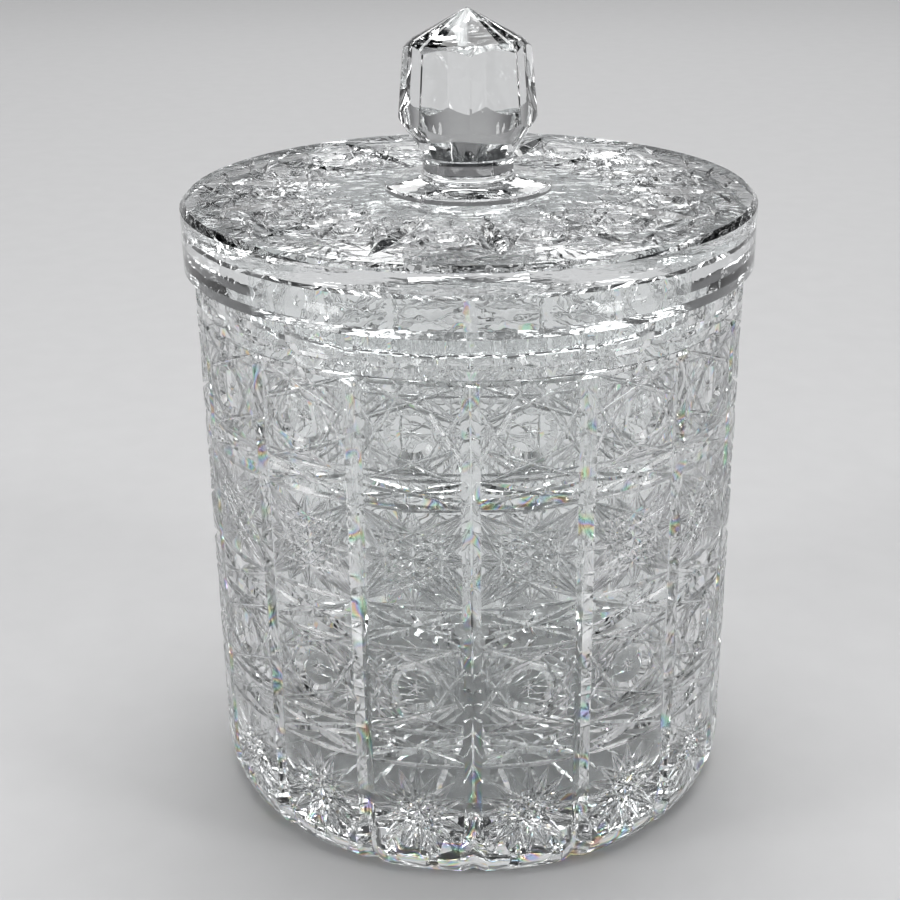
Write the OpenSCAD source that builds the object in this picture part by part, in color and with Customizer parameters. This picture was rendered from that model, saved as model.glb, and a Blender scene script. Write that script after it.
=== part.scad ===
// Hand-cut crystal biscuit jar with a loose lid and a faceted knob.
// Millimetres. Z is up, and the origin is the middle of the flat that the jar stands on.
// The jar is cut in sixteen equal panels, and a mitre between two panels faces -Y.

/* [Jar] */
// Height of the jar to its flat ground rim
jar_h = 158; // [150:1:175]
// Diameter of the wall at the neck
wall_top_d = 154.6; // [152:0.2:157]
// How much narrower across the wall is just above the heel
wall_taper = 1; // [0:0.1:2.5]
// How far the heel turns in to the flat that the jar stands on
heel_in = 3.9; // [2.5:0.1:6]
// Height of the turned-in heel
heel_h = 10; // [7:0.5:13]
// Thickness of the wall at the rim
rim_t = 8.3; // [6.5:0.1:11]
// How much narrower across the inside is just above its bottom corner
well_taper = 2; // [0:0.5:5]
// Radius of the rounded bottom corner inside
well_corner_r = 9; // [5:0.5:12]
// Thickness of the solid bottom
bottom_t = 15; // [11:0.5:20]
// Number of rays of the star on the underside
base_rays = 16; // [12:4:24]
// Radius at which those rays start
base_ray_in_r = 12; // [8:1:20]
// Flat ring that they leave at the edge of the base
base_ray_edge = 6; // [4:0.5:12]
// Width of a ray in its middle
base_ray_w = 3.6; // [2:0.1:4.5]
// Depth of a ray in its middle
base_ray_depth = 1.3; // [0.8:0.1:2]

/* [Neck] */
// Distance from the rim down to the ring line under the neck
neck_h = 11.7; // [10:0.1:15]
// Height of the V of the ring line
ring_w = 2.4; // [1.5:0.1:3]
// Depth of the ring line
ring_depth = 1.1; // [0.6:0.1:1.6]
// Number of hollow flutes round the neck
flute_count = 24; // [16:1:32]
// Length of a flute below the rim
flute_len = 7.6; // [5:0.1:9]
// Width of a flute
flute_w = 13.5; // [9:0.5:15]
// Depth of a flute at the rim
flute_depth = 1.1; // [0.8:0.05:1.4]

/* [Panels] */
// Number of panels round the jar
panel_count = 16; // [12:1:20]
// Width of the V mitre between two panels
mitre_w = 4.6; // [3:0.1:6]
// Depth of that mitre
mitre_depth = 1.7; // [1:0.1:2.2]
// Width of the notch that carries a mitre over the heel
notch_w = 7; // [5:0.5:9]
// Depth of that notch
notch_depth = 1.6; // [1:0.1:2]

/* [Rows of cuts, by the height of their middle] */
// Upper row of buttons
upper_button_z = 132.8; // [131.4:0.2:133.6]
// Row of stars that fill the panels
star_z = 98.6; // [97:0.2:100]
// Lower row of buttons
lower_button_z = 60.3; // [58:0.2:62]
// Row of flash stars above the heel
flash_z = 22.6; // [22.2:0.2:24]
// Diameter of a button
button_d = 13.5; // [9:0.5:15]
// Depth of a button in its middle
button_depth = 1.25; // [1:0.05:1.4]
// Width of the bevelled ring round a button
button_ring = 1.5; // [1:0.1:2]

/* [Stars and bands between the mitres] */
// Height of the plain field round a button
button_row_h = 24; // [22:0.5:25]
// Height of a star that fills the panel
star_row_h = 28; // [26:0.5:29]
// Height of a flash star
flash_row_h = 24; // [20:0.5:24.5]
// Part of the panel's width that a flash star takes
flash_wide = 0.9; // [0.8:0.02:0.94]
// Number of rays of a star
star_rays = 16; // [12:4:16]
// Depth of a star where its rays meet
star_depth = 0.8; // [0.4:0.05:1]
// Depth of two crossed mitres of a band where they meet
band_depth = 0.9; // [0.5:0.05:1.1]
// Part of the way from a star's middle to its edge that is cut away between two rays
star_waist = 0.5; // [0.4:0.02:0.6]

/* [Lid] */
// How far the lid overhangs the wall, all round
lid_over = 2.7; // [1.5:0.1:5]
// Height of the lid's plain rim
lid_rim_h = 18.3; // [15:0.1:21]
// Bevel round the top edge of the lid
lid_bevel = 1.6; // [0.8:0.1:2.5]
// Rise of the top from its edge to the foot of the knob
lid_crown = 0.6; // [0:0.1:1.5]
// Thickness of the plate in the middle of the lid
lid_plate_t = 11; // [8:0.5:13]
// Depth of the locating ring under the lid
locate_h = 8; // [5:0.5:12]
// Thickness of the locating ring
locate_t = 5; // [4:0.5:7]
// Gap between the locating ring and the mouth, all round
locate_gap = 0.8; // [0.4:0.1:1.5]
// Gap left between the ground rim and the flat that the lid stands on
seat_gap = 0.1; // [0.05:0.05:0.3]
// How far the lid happens to be turned on the jar
lid_turn = 6.5; // [-10:0.5:10]
// Number of panels of the lid
lid_panels = 14; // [12:1:18]
// Width of a radial mitre on the lid
lid_mitre_w = 5; // [3:0.1:6]
// Depth of a radial mitre on the lid
lid_mitre_depth = 1.6; // [1:0.1:2]
// Radius at which the radial mitres start
lid_mitre_in_r = 33; // [30:0.5:38]
// Clear edge that the radial mitres leave
lid_clear_edge = 6; // [4:0.5:8]
// Distance of the lid's buttons from its edge
lid_button_in = 24; // [18:0.5:28]
// Diameter of a button on the lid
lid_button_d = 10.5; // [8:0.5:12]

/* [Foot and knob] */
// Diameter of the foot that carries the knob
foot_d = 47; // [42:0.5:52]
// Thickness of the foot at its edge
foot_edge = 1.7; // [1:0.1:2.5]
// Rise of the foot from its edge to its stem
foot_rise = 1.1; // [0.5:0.1:2]
// Diameter of the stem and of the collar bonded to it
stem_d = 25.4; // [22:0.2:28]
// Radius between foot and stem
stem_fillet = 1.6; // [0.8:0.1:2]
// Height of the stem above its fillet
stem_h = 0.6; // [0.4:0.1:2]
// Bevel of the two edges that meet at the bonded joint
joint_bevel = 0.5; // [0.3:0.1:0.8]
// Height of the plain collar under the knob
collar_h = 4.4; // [3:0.1:6]
// How far the knob happens to be turned, against the jar
knob_turn = 2.5; // [-22:0.5:22]
// Number of flat sides of the knob
knob_sides = 8; // [6:1:10]
// Width over the corners at the knob's widest place
knob_wide_d = 38.6; // [35:0.2:42]
// Height of the widest place above the joint
knob_wide_z = 14.7; // [12:0.1:17]
// Width over the corners at the shoulder
knob_shoulder_d = 35.2; // [32:0.2:38]
// Height of the shoulder above the joint
knob_shoulder_z = 34.1; // [30:0.1:38]
// Slope of the knob's pointed cap
cap_angle = 28.9; // [22:0.1:35]
// Radius of the worn point
tip_r = 1.8; // [1:0.1:3]

/* [Hidden] */
$fn = 96;

// How far a cutting wheel reaches out of the glass that it cuts.
over = 2;
// How much the dish of a button rises from its middle to its ring.
dish_rise = 0.12;
// How much further a star's cutter reaches than the star that it leaves.
reach = 1.12;

panel_turn = 360 / panel_count;
wall_top_r = wall_top_d / 2;
wall_foot_r = wall_top_r - wall_taper / 2;
base_r = wall_foot_r - heel_in;
mouth_r = wall_top_r - rim_t;
well_r = mouth_r - well_taper / 2;
neck_z = jar_h - neck_h;
// The heel is an arc that leaves the wall upright and reaches the flat of the base.
heel_r = (heel_in * heel_in + heel_h * heel_h) / (2 * heel_in);
heel_lean = atan(heel_in / heel_h);

lid_r = wall_top_r + lid_over;
locate_r = mouth_r - locate_gap;
seat_z = jar_h + seat_gap;
lid_top_z = seat_z + lid_rim_h;
lid_button_r = lid_r - lid_button_in;
foot_z = lid_top_z + lid_crown;
foot_r = foot_d / 2;
stem_r = stem_d / 2;
joint_z = foot_z + foot_edge + foot_rise + stem_fillet + stem_h;

// The bands of crossed mitres fill what the rows leave between them.
band_z = [
    [star_z + star_row_h / 2, upper_button_z - button_row_h / 2],
    [lower_button_z + button_row_h / 2, star_z - star_row_h / 2],
    [flash_z + flash_row_h / 2, lower_button_z - button_row_h / 2]];

// Radius of the outer wall at height z.
function wall_r(z) = wall_foot_r
    + (wall_top_r - wall_foot_r) * (z - heel_h) / (neck_z - heel_h);

// ---- Cutting tools ----

// A V groove along X, its bottom at z = -depth, open upwards.
module v_groove(length, width, depth) {
    half = width / 2 * (depth + over) / depth;
    rotate([90, 0, 90])
        translate([0, 0, -length / 2])
            linear_extrude(length)
                polygon([[0, -depth], [half, over], [-half, over]]);
}

// A pointed groove along X from x0 to x1 that is deepest at its middle.
module boat_groove(x0, x1, width, depth) {
    k = (depth + over) / depth;
    mid = (x0 + x1) / 2;
    half = (x1 - x0) / 2 * k;
    side = width / 2 * k;
    polyhedron(
        [[mid, 0, -depth], [mid + half, 0, over], [mid, side, over],
         [mid - half, 0, over], [mid, -side, over]],
        [[0, 1, 2], [0, 2, 3], [0, 3, 4], [0, 4, 1], [4, 3, 2, 1]]);
}

// Puts what is drawn round the X axis on the wall, facing out at height z.
module on_wall(z) {
    translate([0, -wall_r(z), z]) rotate([90, 0, 0]) children();
}

// Copies round the axis, the first one turned by start.
module round_axis(count, start = 0) {
    for (i = [0 : count - 1])
        rotate([0, 0, start + 360 * i / count]) children();
}

// A point of the wall; x runs from -1 to 1 across the panel that faces -Y.
function wall_point(x, z) = let (a = x * panel_turn / 2)
    [wall_r(z) * sin(a), -wall_r(z) * cos(a), z];
// Points on the edge of a square and of a circle, t running from 0 to 1 round it.
function square_point(t) = let (q = (8 * t + 1) % 8, s = q % 2 - 1)
    [[1, s], [-s, 1], [-1, -s], [s, -1]][floor(q / 2)];
function round_point(t) = [cos(360 * t), sin(360 * t)];

// V rays cut into a panel at height z: they meet at depth in its middle and run out at the odd
// points of edge, and the even points are how far the glass between two rays reaches in.
// edge is in half panels across and millimetres up.
module ray_cut(z, edge, depth) {
    n = len(edge);
    middle = [0, depth - wall_r(z), z];
    rim = [for (p = edge) middle + reach * (wall_point(p[0], z + p[1]) - middle)];
    polyhedron(
        concat([middle, [0, -wall_r(z) - over, z]], rim),
        concat([for (i = [0 : n - 1]) [0, 2 + i, 2 + (i + 1) % n]],
               [for (i = [0 : n - 1]) [1, 2 + (i + 1) % n, 2 + i]]));
}

module star_cut() {
    ray_cut(star_z, [for (i = [0 : 2 * star_rays - 1]) let (
        p = square_point(i / (2 * star_rays)) * (i % 2 == 0 ? 1 : star_waist))
        [p[0], p[1] * star_row_h / 2]], star_depth);
}

module flash_cut() {
    ray_cut(flash_z, [for (i = [0 : 2 * star_rays - 1]) let (
        p = round_point(i / (2 * star_rays)) * (i % 2 == 0 ? 1 : star_waist))
        [p[0] * flash_wide, p[1] * flash_row_h / 2]], star_depth);
}

module band_cut(z0, z1) {
    h = (z1 - z0) / 2;
    ray_cut((z0 + z1) / 2,
        [[1, h], [0, star_waist * h], [-1, h], [-star_waist, 0],
         [-1, -h], [0, -star_waist * h], [1, -h], [star_waist, 0]], band_depth);
}

// ---- Jar ----

module jar_outer_outline() {
    difference() {
        polygon([
            [0, 0], [wall_foot_r, 0], [wall_foot_r, heel_h],
            [wall_r(neck_z - ring_w / 2), neck_z - ring_w / 2],
            [wall_top_r - ring_depth, neck_z],
            [wall_top_r, neck_z + ring_w / 2],
            [wall_top_r, jar_h], [0, jar_h]]);
        difference() {
            translate([wall_foot_r - heel_r, -over]) square([heel_r + over, heel_h + over]);
            translate([wall_foot_r - heel_r, heel_h]) circle(heel_r);
        }
    }
}

module jar_well_outline() {
    corner_z = bottom_t + well_corner_r;
    translate([0, bottom_t]) square([well_r - well_corner_r, well_corner_r + over]);
    translate([well_r - well_corner_r, corner_z]) circle(well_corner_r);
    polygon([[0, corner_z], [well_r, corner_z], [mouth_r, jar_h],
             [mouth_r, jar_h + over], [0, jar_h + over]]);
}

module neck_flute() {
    // The wheel's arc, from where the flute runs out to the rim.
    steps = 4;
    floor_r = wall_top_r - flute_depth;
    arc = [for (i = [0 : steps]) let (t = i / steps)
        [floor_r + flute_depth * (1 - t) * (1 - t), jar_h - flute_len + flute_len * t]];
    rotate([90, 0, -90]) translate([0, 0, -flute_w / 2]) linear_extrude(flute_w)
        polygon(concat(arc, [[floor_r, jar_h + over], [wall_top_r + over, jar_h + over],
                             [wall_top_r + over, jar_h - flute_len]]));
}

module panel_mitre() {
    lean = atan((wall_top_r - wall_foot_r) / (neck_z - heel_h));
    span = neck_z;
    translate([0, -wall_r(neck_z / 2), neck_z / 2])
        rotate([90 - lean, 0, 0]) rotate([0, 0, 90]) v_groove(span, mitre_w, mitre_depth);
}

module heel_notch() {
    mid_r = (wall_foot_r + base_r) / 2;
    translate([0, -mid_r, heel_h / 2])
        rotate([90 + heel_lean, 0, 0]) rotate([0, 0, 90])
            v_groove(4 * heel_h, notch_w, notch_depth);
}

// A round hollow: a bevelled ring round a shallow dish, its middle at depth.
module button_cut(d) {
    r = d / 2;
    ring_h = button_depth - dish_rise;
    slope = button_ring / ring_h;
    rotate_extrude() polygon([[0, -button_depth], [r - button_ring, -ring_h], [r, 0],
                              [r + slope, 1], [0, 1]]);
}

module wall_button(z) {
    on_wall(z) button_cut(button_d);
}

module jar() {
    color([0.86, 0.89, 0.9, 0.5])
        difference() {
            rotate_extrude() difference() {
                jar_outer_outline();
                jar_well_outline();
            }
            round_axis(flute_count) neck_flute();
            round_axis(panel_count) {
                panel_mitre();
                heel_notch();
            }
            round_axis(panel_count, panel_turn / 2) {
                wall_button(upper_button_z);
                wall_button(lower_button_z);
                star_cut();
                flash_cut();
                for (b = band_z) band_cut(b[0], b[1]);
            }
            round_axis(base_rays) mirror([0, 0, 1])
                boat_groove(base_ray_in_r, base_r - base_ray_edge, base_ray_w, base_ray_depth);
        }
}

// ---- Lid ----

module lid_outline() {
    plate_z = foot_z - lid_plate_t;
    inner_r = locate_r - locate_t;
    slope_z = foot_z + foot_edge + foot_rise;
    fillet_z = slope_z + stem_fillet;
    difference() {
        polygon([
            [0, plate_z], [inner_r, plate_z], [inner_r, seat_z - locate_h],
            [locate_r, seat_z - locate_h], [locate_r, seat_z], [lid_r, seat_z],
            [lid_r, lid_top_z - lid_bevel], [lid_r - lid_bevel, lid_top_z],
            [foot_r, foot_z], [foot_r, foot_z + foot_edge],
            [stem_r + stem_fillet, slope_z], [stem_r + stem_fillet, fillet_z],
            [stem_r, fillet_z], [stem_r, joint_z - joint_bevel],
            [stem_r - joint_bevel, joint_z], [0, joint_z]]);
        translate([stem_r + stem_fillet, fillet_z]) circle(stem_fillet);
    }
}

module lid() {
    color([0.9, 0.92, 0.93, 0.5])
        rotate([0, 0, lid_turn]) difference() {
            rotate_extrude() lid_outline();
            round_axis(lid_panels, -90)
                translate([0, 0, lid_top_z])
                    boat_groove(lid_mitre_in_r, lid_r - lid_clear_edge, lid_mitre_w, lid_mitre_depth);
            round_axis(lid_panels, -90 + 180 / lid_panels)
                translate([lid_button_r, 0, lid_top_z]) button_cut(lid_button_d);
        }
}

// ---- Knob ----

module knob_outline() {
    // The barrel is turned a little wider than the corners, so that the flats meet in ridges.
    spare = 0.6;
    wide_r = knob_wide_d / 2;
    shoulder_r = knob_shoulder_d / 2;
    flare = (knob_wide_z - collar_h) / (wide_r - stem_r);
    low_z = knob_wide_z + spare * flare;
    top_z = knob_shoulder_z - spare * tan(cap_angle);
    point_z = knob_shoulder_z + (shoulder_r - tip_r * sin(cap_angle)) * tan(cap_angle);
    ball_z = point_z - tip_r * cos(cap_angle);
    translate([0, ball_z]) intersection() {
        circle(tip_r);
        square([tip_r, tip_r]);
    }
    polygon([
        [0, 0], [stem_r - joint_bevel, 0], [stem_r, joint_bevel], [stem_r, collar_h],
        [wide_r + spare, low_z], [shoulder_r + spare, top_z],
        [tip_r * sin(cap_angle), point_z], [0, point_z]]);
}

module knob_flat() {
    apothem = cos(180 / knob_sides);
    low = knob_wide_d / 2 * apothem;
    top = knob_shoulder_d / 2 * apothem;
    lean = atan((low - top) / (knob_shoulder_z - knob_wide_z));
    reach = 2 * knob_shoulder_z;
    translate([low, 0, knob_wide_z]) rotate([0, -lean, 0])
        translate([0, -reach / 2, -reach / 2]) cube([reach, reach, 2 * reach]);
}

module knob() {
    color([0.93, 0.94, 0.95, 0.5])
        translate([0, 0, joint_z]) rotate([0, 0, knob_turn]) difference() {
            rotate_extrude() knob_outline();
            round_axis(knob_sides, -90 + 180 / knob_sides) knob_flat();
        }
}

jar();
lid();
knob();
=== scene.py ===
# %% [markdown]
# # A cut-crystal biscuit jar
# The jar, its lid and its knob are three lumps of clear lead glass. Every line on them is a groove
# that a spinning stone wheel has ground into a plain blank, and a softer wheel has polished the
# broad ones. This lesson does the same: it turns plain blanks and cuts them with wheels.
# It starts with the engineering model, which fixes where each piece is and how big it may be.

# %% Load the frame
import math

import bpy
import bmesh
from mathutils import Matrix, Vector


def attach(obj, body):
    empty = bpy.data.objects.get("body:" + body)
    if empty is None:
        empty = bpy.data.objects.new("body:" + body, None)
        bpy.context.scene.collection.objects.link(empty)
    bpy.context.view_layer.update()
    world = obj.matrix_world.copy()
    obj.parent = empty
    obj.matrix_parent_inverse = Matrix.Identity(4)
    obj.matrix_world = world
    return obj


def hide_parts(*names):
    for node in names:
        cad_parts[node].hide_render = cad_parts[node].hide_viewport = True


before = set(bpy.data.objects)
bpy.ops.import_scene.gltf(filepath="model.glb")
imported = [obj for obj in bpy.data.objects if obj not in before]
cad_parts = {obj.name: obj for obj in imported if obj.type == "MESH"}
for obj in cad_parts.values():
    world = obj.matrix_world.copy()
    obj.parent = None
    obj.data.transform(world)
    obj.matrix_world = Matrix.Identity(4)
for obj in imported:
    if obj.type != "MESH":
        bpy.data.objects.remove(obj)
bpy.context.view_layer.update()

# %% [markdown]
# ## Sizes
# A glass cutter works from a handful of sizes, in millimetres: the blank's radii and heights, and
# the height of each row of cuts. They are kept together here, and each wheel is given where it
# cuts, so that any of them can be tried at another size. Blender works in metres, and MM turns
# one into the other.

# %% Sizes of the jar's blank
MM = 0.001
JAR_H = 158.0               # height to the ground rim
WALL_TOP_R = 77.3           # outside of the wall at the neck
WALL_FOOT_R = 76.8          # and just above the heel
HEEL_H = 10.0               # height of the turned-in heel
HEEL_IN = 3.9               # how far it turns in
HEEL_R = (HEEL_IN ** 2 + HEEL_H ** 2) / (2 * HEEL_IN)
HEEL_STEPS = (0.0, 1.0, 2.8, 5.0, 7.6, HEEL_H)     # heights of the points on its curve
MOUTH_R = 69.0              # inside of the wall at the rim
WELL_R = 68.0               # and just above the well's bottom corner
WELL_CORNER_R = 9.0
BOTTOM_T = 15.0             # thickness of the bottom
RING_Z = 146.3              # the line that is turned round the neck
RING_W = 1.7
RING_DEPTH = 0.95
RIM_BREAK = 0.25            # the bevel that takes the sharp edges off the rim
print("the wall is", round(WALL_TOP_R - MOUTH_R, 1), "mm thick at the rim, the heel's curve has",
      "a radius of", round(HEEL_R, 1), "mm")

# %% Sizes of the lid's blank
SEAT_Z = 158.1              # underside of the lid, just clear of the rim
LID_R = 80.0
LID_TOP_Z = 176.4           # top of the lid at its edge
LID_CROWN = 0.6             # how much higher the lid is at its foot
LID_BEVEL = 1.6
LID_EDGE_BREAK = 0.3        # the small bevel under the lid's edge
LID_PLATE_T = 11.0          # thickness in the middle
LOCATE_R = 68.2             # the ring that hangs inside the mouth
LOCATE_T = 5.0
LOCATE_H = 8.0
LOCATE_BEVEL = 0.6
FOOT_R = 23.5               # the low step that carries the stem
FOOT_EDGE = 1.7             # height of its upright edge
FOOT_RISE = 1.1             # and of the slope up to the stem
FOOT_BEVEL = 0.5
STEM_R = 12.7
STEM_FILLET = 1.6
STEM_H = 0.6
JOINT_BEVEL = 0.5           # the fine groove where the knob is bonded on
FOOT_Z = LID_TOP_Z + LID_CROWN
JOINT_Z = FOOT_Z + FOOT_EDGE + FOOT_RISE + STEM_FILLET + STEM_H
print("the lid is", round(LID_TOP_Z - SEAT_Z, 1), "mm thick at its edge, the knob's joint is at",
      round(JOINT_Z, 1), "mm")

# %% Sizes of the knob
KNOB_SIDES = 8
KNOB_TURN = 2.5             # degrees that the knob is turned from the front
KNOB_GAP = 0.03             # keeps the knob's skin off the stem's, so that both are drawn
COLLAR_H = 4.4
KNOB_WIDE_R = 19.3          # the widest place, low on the barrel, at its corners
KNOB_WIDE_Z = 14.7
KNOB_SHOULDER_R = 17.6      # where the barrel meets the cap
KNOB_SHOULDER_Z = 34.1
CAP_ANGLE = 28.9            # slope of the cap in degrees
CAP_EDGE_W = 2.6            # the strip at the cap's edge that falls more steeply
CAP_EDGE_ANGLE = 43.0
TIP_R = 1.8
KNOB_CORNER = 0.13          # how much the wheel takes off an upright corner
KNOB_COLUMNS = 128          # steps round the knob's blank
print("the knob has", KNOB_SIDES, "sides and is about", 2 * KNOB_WIDE_R, "mm across its corners")

# %% Sizes of the pattern
PANELS = 16
FLUTES = 24
JAR_WEDGES = PANELS // 2                # a wedge is two panels
HALF = math.radians(180 / PANELS)       # half the turn of one panel
START = -math.pi / 2                    # a mitre between two panels faces the front
TURN = 2 * math.pi / JAR_WEDGES
MID_R = 76.9                            # radius at which a millimetre round the wall is measured
HALF_W = HALF * MID_R
BUTTON_ROWS = (132.6, 60.0)
BUTTON_ROW_H = 24.0
STAR_Z = 98.4
STAR_ROW_H = 28.0
OLIVE_Z = 114.0
FLASH_Z = 21.6
BANDS = ((120.6, 112.4), (84.4, 72.0), (46.8, 36.5))    # top and foot of each crossed band
LID_PANELS = 14
LID_HALF = math.pi / LID_PANELS         # half the turn of one panel of the lid
LID_TURN = 6.5                          # degrees that the lid is turned from the front
LID_BUTTON_R = 56.0                     # the ring of buttons on the lid
print("a panel is", round(2 * HALF_W, 1), "mm wide")


# %% [markdown]
# ## Turning a blank
# A blank is a profile spun round the jar's axis. Only a wedge of two panels is turned, which is an
# eighth of the jar and a seventh of the lid, because the pattern repeats. The wedge is a closed
# solid with two flat sides, since the cutting that follows needs solids. Short steps round the arc
# keep the plain glass smooth. The knob has no fine pattern, so its blank is turned whole.

# %% Arcs and wedges
SAME_POINT = 1e-7      # metres between two points that are one
ON_AXIS = 1e-6         # millimetres from the axis, or radians from a full turn
ARC_STEPS = 5          # steps in each small arc of a profile


def arc(cx, cz, r, start, end):
    """Points of an arc in the profile's plane, angles in degrees."""
    out = []
    for i in range(ARC_STEPS + 1):
        a = math.radians(start + (end - start) * i / ARC_STEPS)
        out.append((cx + r * math.cos(a), cz + r * math.sin(a)))
    return out


def solid(name, verts, faces):
    """A mesh object in metres from points in millimetres, its faces turned outwards."""
    mesh = bpy.data.meshes.new(name)
    mesh.from_pydata([(x * MM, y * MM, z * MM) for x, y, z in verts], [], faces)
    bm = bmesh.new()
    bm.from_mesh(mesh)
    bmesh.ops.remove_doubles(bm, verts=bm.verts, dist=SAME_POINT)
    bmesh.ops.recalc_face_normals(bm, faces=bm.faces)
    if bm.calc_volume(signed=True) < 0:
        bmesh.ops.reverse_faces(bm, faces=bm.faces)
    bm.to_mesh(mesh)
    bm.free()
    return bpy.data.objects.new(name, mesh)


def turned(name, profile, start, turn, columns):
    """The profile spun from the angle start through turn; a full turn closes on itself."""
    full = abs(turn - 2 * math.pi) < ON_AXIS
    rings = columns if full else columns + 1
    n = len(profile)
    verts = []
    for k in range(rings):
        a = start + turn * k / columns
        verts += [(r * math.cos(a), r * math.sin(a), z) for r, z in profile]
    faces = []
    for k in range(columns):
        m = (k + 1) % rings
        for i in range(n):
            j = (i + 1) % n
            if profile[i][0] < ON_AXIS and profile[j][0] < ON_AXIS:
                continue
            quad = [k * n + i, k * n + j, m * n + j, m * n + i]
            if profile[i][0] < ON_AXIS:
                quad = [k * n + i, k * n + j, m * n + j]
            elif profile[j][0] < ON_AXIS:
                quad = [k * n + i, k * n + j, m * n + i]
            faces.append(quad)
    if not full:
        faces += [list(range(n)), [(rings - 1) * n + i for i in reversed(range(n))]]
    return solid(name, verts, faces)


print("a small arc has", len(arc(0, 0, 1, 0, 90)), "points")

# %% [markdown]
# ## The wheels
# A mitre wheel has a V edge. Where it dips into a round wall it leaves a boat-shaped groove,
# deepest in the middle and pointed at both ends, so each groove here is a V swept along its line
# with a depth that follows an arch. With its tip flattened, the V leaves a narrow bright floor in
# a mitre, or a broad one in an olive. A button is a bevelled ring round a shallow dish. Each
# cutter is a small closed solid that follows the curve of the glass it cuts.

# %% The wall that the cutters follow
OVER = 1.0     # how far a cutter stands out of the glass


def wall_r(z):
    """Radius of the outer wall at height z, with the rounded heel below."""
    if z < HEEL_H:
        drop = min(HEEL_H - z, HEEL_H)
        return WALL_FOOT_R - HEEL_R + math.sqrt(max(HEEL_R ** 2 - drop ** 2, 0.0))
    return WALL_FOOT_R + (WALL_TOP_R - WALL_FOOT_R) * (z - HEEL_H) / (RING_Z - HEEL_H)


def on_wall(middle):
    """A function that lays (u, z, h) on the wall: u along it from the angle middle, h out of it."""
    def put(u, z, h):
        a = middle + u / MID_R
        r = wall_r(z) + h
        return (r * math.cos(a), r * math.sin(a), z)
    return put


print("the wall's radius is", round(wall_r(STAR_Z), 2), "mm at the star row")

# %% A mitre
FLAT_SHARE = 0.7     # a flattened tip is never more than this share of half the groove


def mitre(put, a, b, depth, slope, steps=3, flat=0.0, even=False):
    """A groove from a to b. slope is half its width for each millimetre of depth.

    flat is half the width of its floor, and even keeps one depth from end to end.
    """
    du, dz = b[0] - a[0], b[1] - a[1]
    length = math.hypot(du, dz)
    nu, nz = -dz / length, du / length
    verts, faces = [], []
    count = 3 if flat == 0 else 4
    for i in range(steps + 1):
        t = i / steps
        d = depth if even else depth * (1 - (2 * t - 1) ** 2)
        u, z = a[0] + du * t, a[1] + dz * t
        half = (d + OVER) * slope
        if flat == 0:
            verts.append(put(u, z, -d))
        else:
            f = min(flat, d * slope * FLAT_SHARE)
            verts += [put(u - nu * f, z - nz * f, -d), put(u + nu * f, z + nz * f, -d)]
            half += f
        verts += [put(u + nu * half, z + nz * half, OVER), put(u - nu * half, z - nz * half, OVER)]
    for i in range(steps):
        k = i * count
        for p in range(count):
            q = (p + 1) % count
            faces.append([k + p, k + q, k + q + count, k + p + count])
    faces += [list(range(count)), [steps * count + p for p in reversed(range(count))]]
    return solid("cut", verts, faces)


print("a wheel with a slope of 1 cuts a V of", round(2 * math.degrees(math.atan(1))), "degrees")

# %% A button and the small star in it
DISH = 0.78                # the dish's share of the button's radius
DISH_RISE = 0.12           # how far the dish comes up at its edge
DISH_HALF_RISE = 0.02      # and halfway out
BUTTON_COLUMNS = 20
STAR_IN_BUTTON = dict(slope=0.8, steps=4)


def button(put, u0, z0, radius, depth):
    """A round hollow: a bevelled ring round a shallow dish."""
    inner = radius * DISH
    rim_h = DISH_RISE - depth
    out_r = radius + (radius - inner) * OVER / -rim_h
    profile = [(inner * 0.5, DISH_HALF_RISE - depth), (inner, rim_h), (out_r, OVER)]
    around = BUTTON_COLUMNS
    verts, faces = [put(u0, z0, -depth)], []
    for r, h in profile:
        for j in range(around):
            a = 2 * math.pi * j / around
            verts.append(put(u0 + r * math.cos(a), z0 + r * math.sin(a), h))
    for j in range(around):
        m = (j + 1) % around
        faces.append([0, 1 + j, 1 + m])
        for k in range(len(profile) - 1):
            p = 1 + k * around
            faces.append([p + j, p + m, p + around + m, p + around + j])
    faces.append([1 + (len(profile) - 1) * around + j for j in range(around)])
    return solid("cut", verts, faces)


def small_star(put, u0, z0, radius, depth, lines=4):
    """Short mitres that cross in the middle of a button."""
    out = []
    for k in range(lines):
        a = math.pi * k / lines
        du, dz = radius * math.cos(a), radius * math.sin(a)
        ends = (u0 - du, z0 - dz), (u0 + du, z0 + dz)
        out.append(mitre(put, *ends, depth, **STAR_IN_BUTTON))
    return out


print("the dish of a button is", DISH_RISE, "mm deep")

# %% [markdown]
# ## Cutting
# All the wheels cut one wedge together in a single Boolean with the Manifold solver, which takes
# hundreds of crossing grooves in a few seconds. The wedge's two flat sides are then thrown away,
# so that the wedges can be joined edge to edge.

# %% Cut a wedge
ON_SIDE = 2e-6     # metres from a wedge's flat side


def cut(blank, cutters):
    """The blank less all the cutters, as a plain mesh object; the cutters are used up."""
    chest = bpy.data.collections.new("cutters")
    bpy.context.scene.collection.children.link(chest)
    bpy.context.scene.collection.objects.link(blank)
    for c in cutters:
        chest.objects.link(c)
    work = blank.modifiers.new("wheels", "BOOLEAN")
    work.operation = "DIFFERENCE"
    work.operand_type = "COLLECTION"
    work.solver = "MANIFOLD"
    work.collection = chest
    depsgraph = bpy.context.evaluated_depsgraph_get()
    mesh = bpy.data.meshes.new_from_object(blank.evaluated_get(depsgraph))
    print(len(cutters), "wheel cuts leave", blank.name, "with", len(mesh.polygons), "faces")
    for c in cutters:
        bpy.data.objects.remove(c)
    bpy.data.collections.remove(chest)
    name = blank.name
    bpy.data.objects.remove(blank)
    return bpy.data.objects.new(name + "_cut", mesh)


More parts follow.
